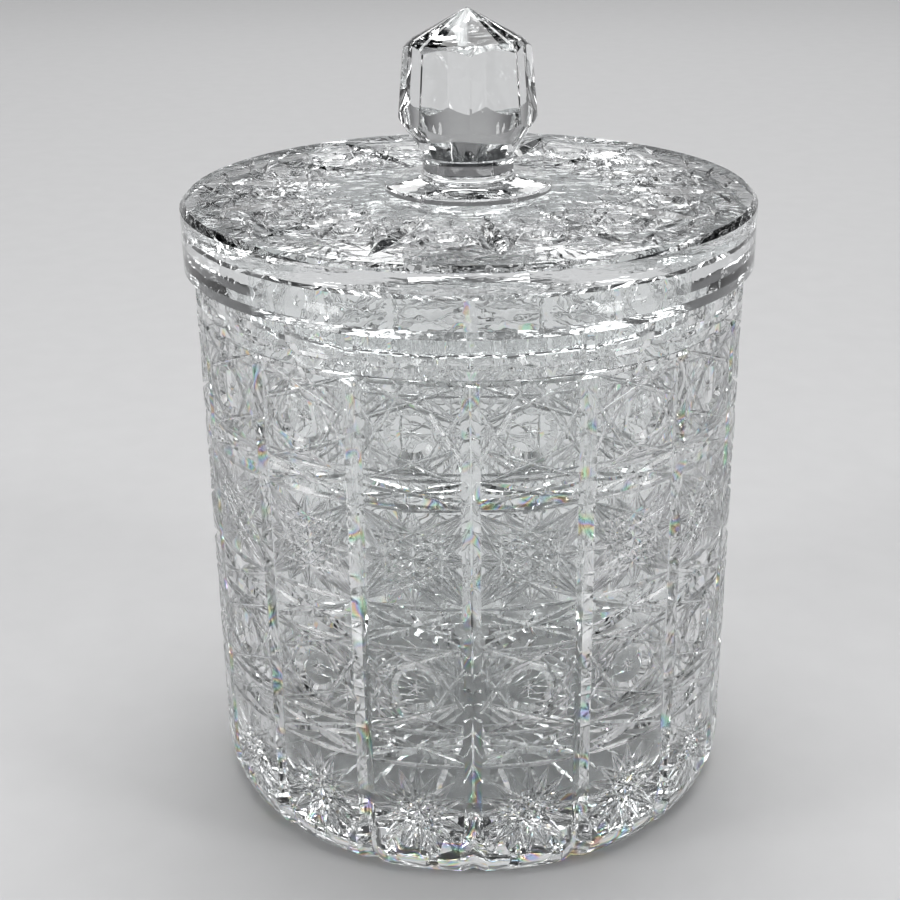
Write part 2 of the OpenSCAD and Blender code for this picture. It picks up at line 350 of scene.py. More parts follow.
def open_sides(wedge, angles):
    """Deletes the flat sides of a wedge, at the given angles."""
    bm = bmesh.new()
    bm.from_mesh(wedge.data)
    gone = []
    for a in angles:
        n = Vector((-math.sin(a), math.cos(a), 0))
        gone += [f for f in bm.faces if all(abs(v.co @ n) < ON_SIDE for v in f.verts)]
    bmesh.ops.delete(bm, geom=gone, context="FACES")
    bm.to_mesh(wedge.data)
    bm.free()
    return wedge


print("the wheels stand", OVER, "mm out of the glass as they cut")

# %% [markdown]
# ## The repeat
# Eight cut wedges make the jar, and seven the lid. Geometry Nodes set them round the axis: a point
# for each wedge, an instance on each point turned by its number, and the touching edges merged.
# The tree ends in real geometry with its material set, so that the result is one closed piece.

# %% Geometry Nodes tree that sets wedges round the axis
WELD = 2e-6     # metres within which the edges of two wedges are merged


def wedge_tree():
    """The tree, with named inputs for the count, the turns, the weld and the material."""
    tree = bpy.data.node_groups.new("wedges_round_axis", "GeometryNodeTree")
    face = tree.interface
    face.new_socket("Geometry", in_out="OUTPUT", socket_type="NodeSocketGeometry")
    face.new_socket("Wedge", in_out="INPUT", socket_type="NodeSocketGeometry")
    inputs = (("Count", "NodeSocketInt", JAR_WEDGES), ("First turn", "NodeSocketFloat", 0.0),
              ("Turn", "NodeSocketFloat", TURN), ("Weld distance", "NodeSocketFloat", WELD),
              ("Glass", "NodeSocketMaterial", None))
    for label, kind, value in inputs:
        socket = face.new_socket(label, in_out="INPUT", socket_type=kind)
        if value is not None:
            socket.default_value = value
    node, link = tree.nodes.new, tree.links.new
    given, result = node("NodeGroupInput"), node("NodeGroupOutput")
    points = node("GeometryNodePoints")
    link(given.outputs["Count"], points.inputs["Count"])
    number, turn = node("GeometryNodeInputIndex"), node("ShaderNodeMath")
    turn.operation = "MULTIPLY_ADD"
    link(number.outputs[0], turn.inputs[0])
    link(given.outputs["Turn"], turn.inputs[1])
    link(given.outputs["First turn"], turn.inputs[2])
    angles = node("ShaderNodeCombineXYZ")
    link(turn.outputs[0], angles.inputs["Z"])
    euler = node("FunctionNodeEulerToRotation")
    link(angles.outputs[0], euler.inputs[0])
    copies = node("GeometryNodeInstanceOnPoints")
    link(points.outputs[0], copies.inputs["Points"])
    link(given.outputs["Wedge"], copies.inputs["Instance"])
    link(euler.outputs[0], copies.inputs["Rotation"])
    real = node("GeometryNodeRealizeInstances")
    link(copies.outputs[0], real.inputs[0])
    weld = node("GeometryNodeMergeByDistance")
    link(real.outputs[0], weld.inputs["Geometry"])
    link(given.outputs["Weld distance"], weld.inputs["Distance"])
    paint = node("GeometryNodeSetMaterial")
    link(weld.outputs[0], paint.inputs["Geometry"])
    link(given.outputs["Glass"], paint.inputs["Material"])
    link(paint.outputs[0], result.inputs[0])
    return tree


WEDGES = wedge_tree()
print("node tree", WEDGES.name, "has", len(WEDGES.nodes), "nodes")

# %% Repeat a wedge and finish a piece
CUT_EDGE = 14.0          # degrees from which an edge of the jar or lid is shaded sharp
KNOB_CUT_EDGE = 12.0


def repeat(name, wedge, material, count=JAR_WEDGES, first_turn=0.0):
    """The wedge repeated round the axis as one plain mesh object."""
    bpy.context.scene.collection.objects.link(wedge)
    work = wedge.modifiers.new("repeat", "NODES")
    work.node_group = WEDGES
    sockets = {s.name: s.identifier for s in WEDGES.interface.items_tree if s.in_out == "INPUT"}
    work[sockets["Count"]] = count
    work[sockets["Turn"]] = 2 * math.pi / count
    work[sockets["First turn"]] = first_turn
    work[sockets["Glass"]] = material
    depsgraph = bpy.context.evaluated_depsgraph_get()
    mesh = bpy.data.meshes.new_from_object(wedge.evaluated_get(depsgraph))
    bpy.data.objects.remove(wedge)
    return finish_piece(name, mesh, material, CUT_EDGE)


def finish_piece(name, mesh, material, sharp):
    """Names a mesh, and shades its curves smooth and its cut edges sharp."""
    mesh.name = name
    mesh.materials.clear()
    mesh.materials.append(material)
    mesh.shade_smooth()
    mesh.set_sharp_from_angle(angle=math.radians(sharp))
    piece = bpy.data.objects.new(name, mesh)
    bpy.context.scene.collection.objects.link(piece)
    mesh.calc_loop_triangles()
    bm = bmesh.new()
    bm.from_mesh(mesh)
    loose = sum(1 for e in bm.edges if not e.is_manifold)
    print(name, len(mesh.loop_triangles), "triangles,", loose, "open edges, volume",
          round(bm.calc_volume(signed=True) * 1e6, 1), "cm3")
    bm.free()
    return piece


print("edges over", CUT_EDGE, "degrees are shaded sharp")

# %% [markdown]
# ## Writing materials as sums
# A glass surface is described with a little arithmetic on coordinates. The small class below wraps
# a node's output, so that a plus or a times in Python adds the Math node that does it.

# %% Shader arithmetic
class Sum:
    """A node's output, on which +, - and * add Math nodes and node() adds any other."""

    def __init__(self, tree, socket):
        self.tree = tree
        self.socket = socket

    def node(self, kind, settings=None, inputs=None, output=0):
        made = self.tree.nodes.new(kind)
        for key, value in (settings or {}).items():
            if key == "stops":
                set_stops(made.color_ramp, value)
            else:
                setattr(made, key, value)
        for key, value in (inputs or {}).items():
            if isinstance(value, Sum):
                self.tree.links.new(value.socket, made.inputs[key])
            else:
                made.inputs[key].default_value = value
        return Sum(self.tree, made.outputs[output])

    def math(self, operation, other=0.0):
        return self.node("ShaderNodeMath", {"operation": operation}, {0: self, 1: other})

    def __add__(self, other):
        return self.math("ADD", other)

    def __radd__(self, other):
        return self.math("ADD", other)

    def __sub__(self, other):
        return self.math("SUBTRACT", other)

    def __rsub__(self, other):
        return (self * -1.0).math("ADD", other)

    def __mul__(self, other):
        return self.math("MULTIPLY", other)

    def __rmul__(self, other):
        return self.math("MULTIPLY", other)


def set_stops(ramp, stops):
    """Gives a colour ramp its stops, each a position and a colour, from low to high."""
    for _ in range(len(stops) - len(ramp.elements)):
        ramp.elements.new(0.5)
    for element, (position, colour) in zip(ramp.elements, stops):
        element.position = position
        element.color = colour


# %% Materials, noise and mixes
def material_start(name):
    """A new material, its shader and a Sum from which its nodes are made."""
    material = bpy.data.materials.new(name)
    material.use_nodes = True
    shader = material.node_tree.nodes["Principled BSDF"]
    return material, shader, Sum(material.node_tree, None)


def noise(start, place, scale, detail):
    """Soft random values over a surface, about 0.5 on average."""
    return start.node("ShaderNodeTexNoise",
                      inputs={"Vector": place, "Scale": scale, "Detail": detail})


def mixed(start, share, first, second):
    """The first colour with a share of the second."""
    return start.node("ShaderNodeMix", {"data_type": "RGBA"}, {0: share, 6: first, 7: second},
                      output=2)


def length_of(start, vector):
    """The length of a vector."""
    return start.node("ShaderNodeVectorMath", {"operation": "LENGTH"}, {0: vector},
                      output="Value")


print("materials are written with +, - and *")

# %% [markdown]
# ## Silky flanks
# The broad mitres are polished bright, but the fine lines of the stars keep the silky grey of the
# stone. A surface belongs to a fine cut if it lies a little below the skin that the blank had, so
# the mask measures that depth from the radius and the height, and leaves out the places that are
# polished: the mitres between panels, the crossed bands and the ring of each button.

# %% Where a surface lies
FAR = 99       # millimetres, further out than any glass
BELOW = -1     # millimetres, lower than any glass


def around_axis(start, place, first):
    """Distance from the axis, angle from the angle first, and height."""
    x, y, z = (start.node("ShaderNodeSeparateXYZ", inputs={0: place}, output=i) for i in range(3))
    flat = start.node("ShaderNodeVectorMath", {"operation": "MULTIPLY"}, {0: place, 1: (1, 1, 0)})
    return length_of(start, flat), y.math("ARCTAN2", x) - first, z


def between(value, low, high):
    """1 where the value lies between two lengths in millimetres."""
    return value.math("GREATER_THAN", low * MM) * value.math("LESS_THAN", high * MM)


# %% Masks of the silky flanks
SILK_DEPTH = 0.36              # a silky flank lies no deeper than this under the skin
JAR_SKIN = 0.06                # and at least this deep on the jar
LID_SKIN = 0.02                # or on the lid
JAR_MITRE_CLEAR = 2.6          # half the polished strip along a mitre between panels
LID_MITRE_CLEAR = 2.2
BAND_CLEAR = 1                 # the silk comes this far into a crossed band
RING_CLEAR = 1.5               # and stays this far under the ring line
BUTTON_RING = (5.25, 6.75)     # radii of a button's polished ring
LID_SILK_IN = 35               # where the lid's fine cuts begin
LID_EDGE_CLEAR = 0.4


def jar_silk(start, place):
    """1 on the flanks of the jar's fine cuts, 0 on the skin and in what is polished."""
    radius, angle, z = around_axis(start, place, START)
    lean = (WALL_TOP_R - WALL_FOOT_R) / (RING_Z - HEEL_H)
    depth = z * lean + (WALL_FOOT_R - HEEL_H * lean) * MM - radius
    turn = angle.math("PINGPONG", HALF)
    silk = between(depth, JAR_SKIN, SILK_DEPTH) * between(turn * radius, JAR_MITRE_CLEAR, FAR)
    silk = silk * between(z, HEEL_H, RING_Z - RING_CLEAR)
    for top, low in BANDS:
        silk = silk * (1 - between(z, low + BAND_CLEAR, top - BAND_CLEAR))
    across = (turn - HALF) * radius
    for middle in BUTTON_ROWS:
        away = start.node("ShaderNodeCombineXYZ", inputs={0: across, 1: z - middle * MM})
        silk = silk * (1 - between(length_of(start, away), *BUTTON_RING))
    return silk


def lid_silk(start, place):
    """1 on the flanks of the lid's fine cuts."""
    radius, angle, z = around_axis(start, place, START + math.radians(LID_TURN))
    crown = LID_CROWN / (LID_R - FOOT_R)
    depth = (LID_TOP_Z + crown * LID_R) * MM - radius * crown - z
    turn = angle.math("PINGPONG", LID_HALF)
    silk = between(depth, LID_SKIN, SILK_DEPTH) * between(turn * radius, LID_MITRE_CLEAR, FAR)
    return silk * between(radius, LID_SILK_IN, LID_R - LID_BEVEL - LID_EDGE_CLEAR)


print("silk lies from", JAR_SKIN, "to", SILK_DEPTH, "mm under the jar's skin")

# %% [markdown]
# ## Spectrum colours
# A deep mitre works as a prism, and throws small patches of pure colour. Tracing that takes far
# too long, so the colours are painted faintly into the broad polished cuts: one noise decides
# where a patch lies, and a second which of the five colours it has.

# %% Colours of the spectrum
SPECTRUM = ((0.0, (1, 0.2, 0.12, 1)), (0.25, (1, 0.75, 0.12, 1)), (0.5, (0.25, 1, 0.4, 1)),
            (0.75, (0.12, 0.5, 1, 1)), (1.0, (0.5, 0.2, 1, 1)))
PRISM_HALF_W = 2.2             # half the coloured strip along a mitre between panels
PRISM_OLIVE = 1.4              # and along the olives
PRISM_HEEL = 2                 # the colours reach this far above the heel
PRISM_SKIN = 2                 # only the outer wall, this far clear of the inner one
PATCH_SCALE = 130.0
PATCH_FROM = 0.53              # noise at which a patch begins
PATCH_EDGE = 9.0               # how sharply it begins
PATCH_STRENGTH = 0.85
COLOUR_SCALE = 170.0
COLOUR_ROUNDS = 4.0            # how often the spectrum repeats over the second noise


def painted_rainbow_glints(start, place, glass):
    """The glass with painted rainbow glints: faint colours of the spectrum, standing in for light
    that the mitres split, in the jar's broad polished cuts.
    """
    radius, angle, z = around_axis(start, place, START)
    on_mitre = (angle.math("PINGPONG", HALF) * radius).math("LESS_THAN", PRISM_HALF_W * MM)
    on_olive = between(z, OLIVE_Z - PRISM_OLIVE, OLIVE_Z + PRISM_OLIVE)
    on_heel = between(z, BELOW, HEEL_H + PRISM_HEEL)
    polished = on_mitre.math("MAXIMUM", on_olive).math("MAXIMUM", on_heel)
    polished = polished * between(radius, MOUTH_R + PRISM_SKIN, FAR) * between(z, BELOW, RING_Z)
    patches = (noise(start, place, PATCH_SCALE, 1.0) - PATCH_FROM) * PATCH_EDGE
    spots = patches.math("MAXIMUM", 0.0).math("MINIMUM", 1.0)
    along = (noise(start, place, COLOUR_SCALE, 0.0) * COLOUR_ROUNDS).math("FRACT")
    colours = start.node("ShaderNodeValToRGB", {"stops": SPECTRUM}, {0: along})
    return mixed(start, polished * spots * PATCH_STRENGTH, glass, colours)


print("the spectrum has", len(SPECTRUM), "colours")

# %% [markdown]
# ## Lead crystal
# Lead crystal is clear and a little cool, and bends light more than window glass: its index of
# refraction is about 1.55. Hand polishing leaves faint waves in it, which a Bump node adds.

# %% The glass
CRYSTAL_IOR = 1.55
JAR_TINT = (0.97, 0.985, 0.985, 1)
KNOB_TINT = (0.98, 0.99, 0.99, 1)
SILK_TINT = (0.62, 0.63, 0.64, 1)
WAVE_SCALE = 90.0
RIPPLE_SCALE = 420.0
RIPPLE_SHARE = 0.15            # height of the ripples against the waves
POLISH = 0.02                  # roughness that polishing leaves


def crystal(name, tint, waves, silk=None, matt=0.0, colours=None):
    """Clear crystal with waves of this height in metres.

    silk gives the mask of the flanks, matt their roughness, and colours paints rainbow glints, a
    painted stand-in for split light, into the polished cuts.
    """
    material, shader, start = material_start(name)
    link = material.node_tree.links.new
    place = start.node("ShaderNodeTexCoord", output="Object")
    ripples = noise(start, place, RIPPLE_SCALE, 1.0)
    height = noise(start, place, WAVE_SCALE, 2.0) + ripples * RIPPLE_SHARE
    bump = start.node("ShaderNodeBump",
                      inputs={"Height": height, "Strength": 1.0, "Distance": waves})
    rough = ripples * POLISH
    shader.inputs["Base Color"].default_value = tint
    if silk:
        mask = silk(start, place)
        rough = rough + mask * matt
        glass = mixed(start, mask, tint, SILK_TINT)
        if colours:
            glass = colours(start, place, glass)
        link(glass.socket, shader.inputs["Base Color"])
    shader.inputs["Transmission Weight"].default_value = 1.0
    shader.inputs["IOR"].default_value = CRYSTAL_IOR
    link(rough.socket, shader.inputs["Roughness"])
    link(bump.socket, shader.inputs["Normal"])
    return material


# the jar's polished cuts carry painted rainbow glints, colour that stands in for light split by the
# mitres
JAR_GLASS = crystal("jar_cut_crystal", JAR_TINT, waves=0.00008, silk=jar_silk, matt=0.22,
                    colours=painted_rainbow_glints)
LID_GLASS = crystal("lid_cut_crystal", JAR_TINT, waves=0.00012, silk=lid_silk, matt=0.16)
KNOB_GLASS = crystal("knob_faceted_crystal", KNOB_TINT, waves=0.00004)
print("materials", [m.name for m in (JAR_GLASS, LID_GLASS, KNOB_GLASS)])

# %% [markdown]
# ## The jar's blank
# The blank is a thick tumbler. Its profile goes up the outside, over the ground rim and down the
# well, and it has the ring line under the neck already turned into it.

# %% Jar blank
JAR_COLUMNS = 12     # steps round a wedge


def jar_profile():
    """The tumbler's outline from the middle of its underside round to the middle of the well."""
    heel = [(wall_r(z), z) for z in HEEL_STEPS]
    ring = [(wall_r(RING_Z - RING_W / 2), RING_Z - RING_W / 2),
            (WALL_TOP_R - RING_DEPTH, RING_Z), (WALL_TOP_R, RING_Z + RING_W / 2)]
    rim = [(WALL_TOP_R, JAR_H - RIM_BREAK), (WALL_TOP_R - RIM_BREAK, JAR_H),
           (MOUTH_R + RIM_BREAK, JAR_H), (MOUTH_R, JAR_H - RIM_BREAK)]
    corner = arc(WELL_R - WELL_CORNER_R, BOTTOM_T + WELL_CORNER_R, WELL_CORNER_R, 0, -90)
    return [(0.0, 0.0)] + heel + ring + rim + corner + [(0.0, BOTTOM_T)]


PANEL_MIDDLES = [START + HALF, START + 3 * HALF]
jar_blank = turned("jar_blank", jar_profile(), START, TURN, JAR_COLUMNS)
print("jar blank", len(jar_blank.data.vertices), "points")

# %% [markdown]
# ## Stars by rule
# A star is drawn with knots on the edge of its field and a mitre from each knot to the one a few
# places on. Moved so that they only touch a circle, the lines leave room for a button.

# %% Knots and lines
def knots(width, height, per_side):
    """Points on the edge of a rectangle centred on 0, 0, in order from the right-hand middle."""
    n = per_side * 4
    out = []
    for i in range(n):
        t = (i / n * 8 + 1) % 8        # 0 to 8 round the rectangle, starting at a corner
        side, s = int(t // 2), (t % 2) - 1
        out.append([(1, s), (-s, 1), (-1, -s), (s, -1)][side])
    return [(x * width / 2, y * height / 2) for x, y in out]


def joined(points, skip):
    """Lines from each knot to the one skip places on, each line once."""
    n = len(points)
    pairs = {tuple(sorted((i, (i + skip) % n))) for i in range(n)}
    return [(points[a], points[b]) for a, b in sorted(pairs)]


def beside(line, distance):
    """The line moved in or out until it only touches a circle of this radius round the middle."""
    (ax, ay), (bx, by) = line
    length = math.hypot(bx - ax, by - ay)
    nx, ny = (by - ay) / length, -(bx - ax) / length
    gap = nx * ax + ny * ay
    move = math.copysign(distance, gap) - gap
    return (ax + nx * move, ay + ny * move), (bx + nx * move, by + ny * move)


def shifted(line, z):
    """The line moved up by z."""
    return (line[0][0], line[0][1] + z), (line[1][0], line[1][1] + z)


print("a sixteen-knot star has", len(joined(knots(1, 1, 4), 7)), "lines of seven places")

# %% [markdown]
# ## The jar's pattern
# Each panel carries, from the top: an eight-line star round a button, with two points that cross
# the ring line, a band of long crossed mitres with an olive in it, a field with sixteen knots on
# its edge joined across by mitres, a second crossed band, a second button star, a third band, and
# a flash star above the heel. A wheel is written here as its depth, its slope, the number of steps
# along the groove and, where its tip is flattened, half the width of the flat.

# %% Button stars
BUTTON_LINE = dict(depth=0.8, slope=1.0, steps=4, flat=0.14)
FINE_LINE = dict(depth=0.5, slope=1.1, steps=3)
SHORT_LINE = dict(depth=0.5, slope=1.1, steps=2)
BUTTON_TOUCH = 7.6             # radius that the star's lines touch
FINE_TOUCH = 10.4
BUTTON_SIZE = (6.75, 1.25)     # radius and depth
BUTTON_STAR = (5.6, 1.75)
CORNER_CUTS = ((8.6, 3.0), (10.8, 4.2), (13.0, 4.6))     # distance out, and half the length
CORNER_PLACE = (0.74, 0.66)    # a corner cut lies along the field's diagonal,
CORNER_LEAN = (0.72, 0.7)      # and runs across it
LEVEL_CUTS = (4.5, 9.6)        # half the length, and distance above or below the button
UPRIGHT_CUTS = (4, 11.4)       # half the length, and distance to the left or right


def button_star(put, z):
    """A button at height z inside its star, with fine cuts round the star."""
    out = []
    square = knots(2 * HALF_W, BUTTON_ROW_H, 2)
    for line in joined(square, 3):
        out.append(mitre(put, *shifted(beside(line, BUTTON_TOUCH), z), **BUTTON_LINE))
    for line in joined(square, 2):
        out.append(mitre(put, *shifted(beside(line, FINE_TOUCH), z), **FINE_LINE))
    for sx, sz in ((1, 1), (-1, 1), (-1, -1), (1, -1)):
        for far, half in CORNER_CUTS:
            cx, cz = sx * far * CORNER_PLACE[0], z + sz * far * CORNER_PLACE[1]
            du, dz = sx * half * CORNER_LEAN[0], sz * half * CORNER_LEAN[1]
            out.append(mitre(put, (cx - du, cz + dz), (cx + du, cz - dz), **SHORT_LINE))
    for s in (1, -1):
        half, away = LEVEL_CUTS
        out.append(mitre(put, (-half, z + s * away), (half, z + s * away), **SHORT_LINE))
        half, away = UPRIGHT_CUTS
        out.append(mitre(put, (s * away, z - half), (s * away, z + half), **SHORT_LINE))
    out.append(button(put, 0, z, *BUTTON_SIZE))
    return out + small_star(put, 0, z, *BUTTON_STAR)


print("a button star has", len(joined(knots(1, 1, 2), 3)), "main lines")

# %% The rows of a panel
POINT_LINE = dict(depth=0.9, slope=1.2, steps=3)
STAR_LINE = dict(depth=0.65, slope=1.2, steps=4)
LONG_CROSS = dict(depth=0.95, slope=1.6, steps=4)
SHORT_CROSS = dict(depth=0.7, slope=1.5, steps=4)
BAND_EDGE = dict(depth=0.6, slope=1.4, steps=4)
OLIVE = dict(depth=1.15, slope=1.6, steps=4, flat=0.8)
FLASH_LINE = dict(depth=0.7, slope=1.2, steps=4)
POINT_FROM = (7.0, 138.0)      # the points over the ring line, across and up
POINT_TO = (-1.4, 148.6)
CROSS_INSET = 0.3              # the short cross starts this share of the band in
OLIVE_HALF = 10.5
FLASH_R = 14.8
FLASH_KNOTS = 16


def band(put, top, low):
    """Two crosses of mitres between two level ones."""
    out = []
    inset = (top - low) * CROSS_INSET
    for s in (1, -1):
        out.append(mitre(put, (-s * HALF_W, top), (s * HALF_W, low), **LONG_CROSS))
        out.append(mitre(put, (-s * HALF_W, top - inset), (s * HALF_W, low + inset), **SHORT_CROSS))
    for z in (top, low):
        out.append(mitre(put, (-HALF_W, z), (HALF_W, z), **BAND_EDGE))
    return out


def panel_cuts(middle):
    """All the cuts of the panel whose middle is at this angle."""
    put = on_wall(middle)
    out = []
    for z in BUTTON_ROWS:
        out += button_star(put, z)
    for s in (1, -1):
        ends = (s * POINT_FROM[0], POINT_FROM[1]), (s * POINT_TO[0], POINT_TO[1])
        out.append(mitre(put, *ends, **POINT_LINE))
    square = knots(2 * HALF_W, STAR_ROW_H, 4)
    for line in joined(square, 6) + joined(square, 7) + joined(square, 8):
        out.append(mitre(put, *shifted(line, STAR_Z), **STAR_LINE))
    for top, low in BANDS:
        out += band(put, top, low)
    out.append(mitre(put, (-OLIVE_HALF, OLIVE_Z), (OLIVE_HALF, OLIVE_Z), **OLIVE))
    rays = [math.radians(360 / FLASH_KNOTS * i) for i in range(FLASH_KNOTS)]
    flash = [(FLASH_R * math.cos(a), FLASH_R * math.sin(a)) for a in rays]
    for line in joined(flash, 8) + joined(flash, 7):
        out.append(mitre(put, *shifted(line, FLASH_Z), **FLASH_LINE))
    return out


print("the bands' middles are at", [round((top + low) / 2, 1) for top, low in BANDS], "mm")

# %% [markdown]
# The neck has hollow flutes from the rim down, each of which runs out in a U, and the underside
# has a star of rays. The upright mitres between the panels run from the heel to the ring line.

# %% Neck flutes
FLUTE_HALF_W = 9.3
FLUTE_DEPTH = 1.5
FLUTE_LEN = 8.6
FLUTE_OUT = 2.0                # how far the cutter stands out of the neck
FLUTE_POINTS = 4               # points on each side of a flute's middle
# Each row is a share of the length, from the foot up, and the share of the width and the depth.
FLUTE_ROWS = ((0.0, 0.0), (0.05, 0.5), (0.15, 0.8), (0.35, 0.96), (1.0, 1.0))
FLUTE_TIP = (0.05, 0.02)       # least share of the width, and height of the foot out of the glass


def neck_flute(a):
    """A round-nosed cut from the rim that runs out in a U."""
    def put(u, z, h):
        b = a + u / MID_R
        return ((WALL_TOP_R + h) * math.cos(b), (WALL_TOP_R + h) * math.sin(b), z)
    low = JAR_H - FLUTE_LEN
    rows = [(low + FLUTE_LEN * t, s) for t, s in FLUTE_ROWS] + [(JAR_H + OVER, 1.0)]
    verts, faces = [], []
    for z, s in rows:
        half = FLUTE_HALF_W * max(s, FLUTE_TIP[0])
        for i in range(-FLUTE_POINTS, FLUTE_POINTS + 1):
            x = i / FLUTE_POINTS
            h = -FLUTE_DEPTH * s * (1 - x ** 4) if s > 0 else FLUTE_TIP[1]
            verts.append(put(half * x, z, h))
        verts += [put(half, z, FLUTE_OUT), put(-half, z, FLUTE_OUT)]
    n = 2 * FLUTE_POINTS + 3
    for k in range(len(rows) - 1):
        for i in range(n):
            j = (i + 1) % n
            faces.append([k * n + i, k * n + j, (k + 1) * n + j, (k + 1) * n + i])
    faces += [list(range(n)), [(len(rows) - 1) * n + i for i in reversed(range(n))]]
    return solid("cut", verts, faces)


print("a flute's wheel is", 2 * FLUTE_HALF_W, "mm wide")

# %% Cut the jar
PANEL_MITRE = dict(depth=1.7, slope=1.3, steps=2, flat=0.3, even=True)
HEEL_MITRE = dict(depth=1.8, slope=2.1, steps=5, even=True)
BASE_RAY = dict(depth=1.5, slope=1.5, steps=4)
PANEL_MITRE_FOOT = 9.0         # where the panel mitre starts, inside the heel mitre
HEEL_MITRE_ENDS = (-3.0, 14.0)
BASE_RAY_ENDS = (12, 66)       # inner and outer radius


def on_base(middle):
    """Lays (across, radius, h) on the underside, h pointing down."""
    def put(u, r, h):
        c, s = math.cos(middle), math.sin(middle)
        return (r * c - u * s, r * s + u * c, -h)
    return put


def jar_cutters():
    """Every wheel cut on a wedge of the jar, with those on its two sides."""
    out = []
    for middle in PANEL_MIDDLES:
        out += panel_cuts(middle)
    for k in range(3):
        put = on_wall(START + 2 * HALF * k)
        out.append(mitre(put, (0, PANEL_MITRE_FOOT), (0, RING_Z - RING_W / 2), **PANEL_MITRE))
        out.append(mitre(put, (0, HEEL_MITRE_ENDS[0]), (0, HEEL_MITRE_ENDS[1]), **HEEL_MITRE))
    for k in range(5):
        put = on_base(START + HALF * k)
        out.append(mitre(put, (0, BASE_RAY_ENDS[0]), (0, BASE_RAY_ENDS[1]), **BASE_RAY))
    flutes = FLUTES // JAR_WEDGES
    for k in range(flutes + 1):
        out.append(neck_flute(START + TURN * k / flutes))
    return out


jar_wedge = open_sides(cut(jar_blank, jar_cutters()), (START, START + TURN))
jar = repeat("jar_glass", jar_wedge, JAR_GLASS)

# %% [markdown]
# ## The lid
# The lid is one thick plate with a plain upright rim. A ring under it drops into the mouth, and a
# low foot with a short stem rises in the middle to take the knob.

# %% Lid blank
def lid_profile():
    """The lid's outline from the middle of its underside round to the middle of the stem."""
    plate_z = FOOT_Z - LID_PLATE_T
    inner = LOCATE_R - LOCATE_T
    ring_z = SEAT_Z - LOCATE_H
    fillet_z = FOOT_Z + FOOT_EDGE + FOOT_RISE + STEM_FILLET
    under = [(0.0, plate_z), (inner - 1, plate_z), (inner, plate_z - 1)]
    ring = [(inner, ring_z + LOCATE_BEVEL), (inner + LOCATE_BEVEL, ring_z),
            (LOCATE_R - LOCATE_BEVEL, ring_z), (LOCATE_R, ring_z + LOCATE_BEVEL),
            (LOCATE_R, SEAT_Z)]
    plate = [(LID_R - LID_EDGE_BREAK, SEAT_Z), (LID_R, SEAT_Z + LID_EDGE_BREAK),
             (LID_R, LID_TOP_Z - LID_BEVEL), (LID_R - LID_BEVEL, LID_TOP_Z)]
    foot = [(FOOT_R, FOOT_Z), (FOOT_R, FOOT_Z + FOOT_EDGE - FOOT_BEVEL),
            (FOOT_R - FOOT_BEVEL, FOOT_Z + FOOT_EDGE)]
    fillet = arc(STEM_R + STEM_FILLET, fillet_z, STEM_FILLET, -90, -180)
    stem = [(STEM_R, JOINT_Z - JOINT_BEVEL), (STEM_R - JOINT_BEVEL, JOINT_Z), (0.0, JOINT_Z)]
    return under + ring + plate + foot + fillet + stem


LID_TURNED = 4 * LID_HALF      # a wedge of two panels
LID_COLUMNS = 16
lid_blank = turned("lid_blank", lid_profile(), START, LID_TURNED, LID_COLUMNS)
print("lid blank", len(lid_blank.data.vertices), "points")


# %% [markdown]
# The lid has fourteen panels between radial mitres. Each has a button inside an eight-point star,
# fine cuts that fill the corners, a fan at the edge, and points that run in towards the clear
# ring round the foot. Across is measured in half panels, so the pattern narrows with the panel.

# %% Places on the lid
SIDE = 0.96                    # half panels across, just short of the next panel
# The eight knots of a star, each as half panels across and a radius.
LID_FIELD = ((1, LID_BUTTON_R), (1, 67), (0, 68.5), (-1, 67),
             (-1, LID_BUTTON_R), (-1, 44), (0, 42.5), (1, 44))


def on_top(middle):
    """Lays (across, radius, h) on the lid: across from the angle middle, radius from the axis."""
    def put(u, r, h):
        z = LID_TOP_Z + LID_CROWN * (LID_R - r) / (LID_R - FOOT_R)
        c, s = math.cos(middle), math.sin(middle)
        return (r * c - u * s, r * s + u * c, z + h)
    return put


def lid_point(x, r):
    """The place x half panels across at the radius r, in millimetres."""
    return x * r * math.tan(LID_HALF), r


print("half a panel is", round(lid_point(1, LID_R)[0], 1), "mm wide at the lid's edge")

# %% Cuts of one panel of the lid
LID_STAR = dict(slope=1.2, steps=3)
LID_STARS = ((3, 6.2, 0.85), (2, 8.8, 0.55))     # knots skipped, radius touched and depth
LID_CORNERS = ((7.4, 2.4), (9.6, 3.4))           # distance out, and half the length
LID_CORNER_PLACE = 0.72
LID_CORNER_LEAN = 0.7
LID_BUTTON = (5.2, 1.15)                         # radius and depth
LID_BUTTON_STAR = (4.2, 1.5)
FAN_LINE = dict(depth=0.6, slope=1.1, steps=2)
FAN = (0.2, 0.42, 0.66)                          # where the fan's lines end, in half panels
FAN_PINCH = 0.55                                 # they start this share as far across
FAN_ENDS = (69.0, 77.2)
MIDDLE_LINES = ((69.0, 77.5), (35.5, 45.0))      # inner and outer radius
EDGE_CROSS = dict(depth=0.7, slope=1.25, steps=3)
# Lines at the edge, and lines towards the clear ring: half panels across and radius of both
# ends, and for the inner ones their wheel.
EDGE_LINES = ((0, 67.5, SIDE, 74.5), (SIDE, 67.0, 0.1, 75.5))
INNER_LINES = ((SIDE, 44.5, 0, 36.5, dict(depth=0.75, slope=1.25, steps=3)),
               (0, 47.0, 0.9, 38.5, dict(depth=0.65, slope=1.2, steps=3)),
               (0, 42.0, 0.95, 48.5, dict(depth=0.6, slope=1.2, steps=2)))


def lid_corners(put, s, t):
    """Fine cuts across one corner of the star's field."""
    out = []
    for far, half in LID_CORNERS:
        u = s * far * LID_CORNER_PLACE
        r = LID_BUTTON_R + t * far * LID_CORNER_PLACE
        du, dr = s * half * LID_CORNER_LEAN, t * half * LID_CORNER_LEAN
        out.append(mitre(put, (u - du, r + dr), (u + du, r - dr), **SHORT_LINE))
    return out


